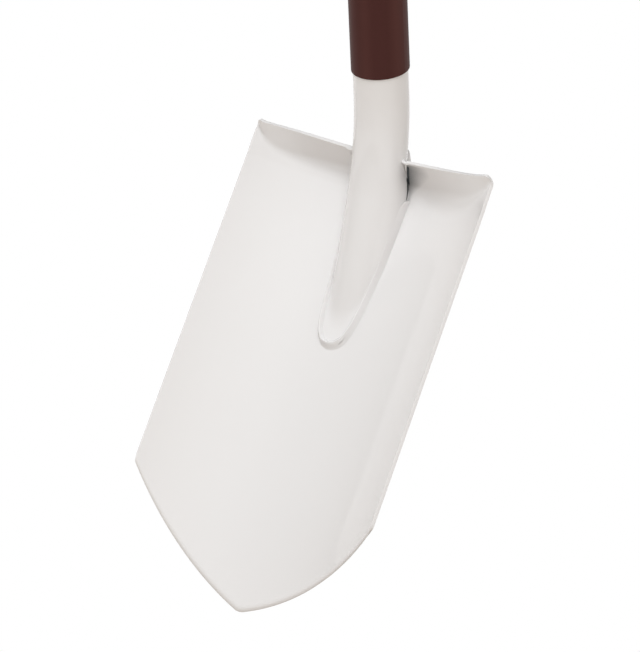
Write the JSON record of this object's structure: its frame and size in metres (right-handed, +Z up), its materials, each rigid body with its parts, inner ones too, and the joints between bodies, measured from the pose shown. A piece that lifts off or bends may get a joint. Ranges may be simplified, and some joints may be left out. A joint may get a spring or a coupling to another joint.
{
  "type": "spade",
  "caption": "Pointed digging spade: hollow white steel blade with a folded tread, cranked tube shaft in a brown sleeve, and a D handle.",
  "frame": {"origin": "on the shaft's axis, half way along its sleeve", "axes": "+Z up the shaft to the handle, -Y to the front, where the blade's hollow face looks, +X to the right seen from the front"},
  "size_m": [0.1896, 0.2195, 1.1649],
  "materials": {
    "white_paint": "gloss",
    "brown_sleeve": "satin",
    "brown_handle": "satin",
    "soft_grip": "matt",
    "rivet_steel": "satin"
  },
  "bodies": {
    "root": {"blade": "white_paint", "shaft_tube": "white_paint", "tongue_weld": "white_paint", "tread_weld_left": "white_paint", "tread_weld_right": "white_paint", "shaft_sleeve": "brown_sleeve", "handle_body": "brown_handle", "handle_grip": "soft_grip", "handle_rivet": "rivet_steel"}
  },
  "joints": []
}
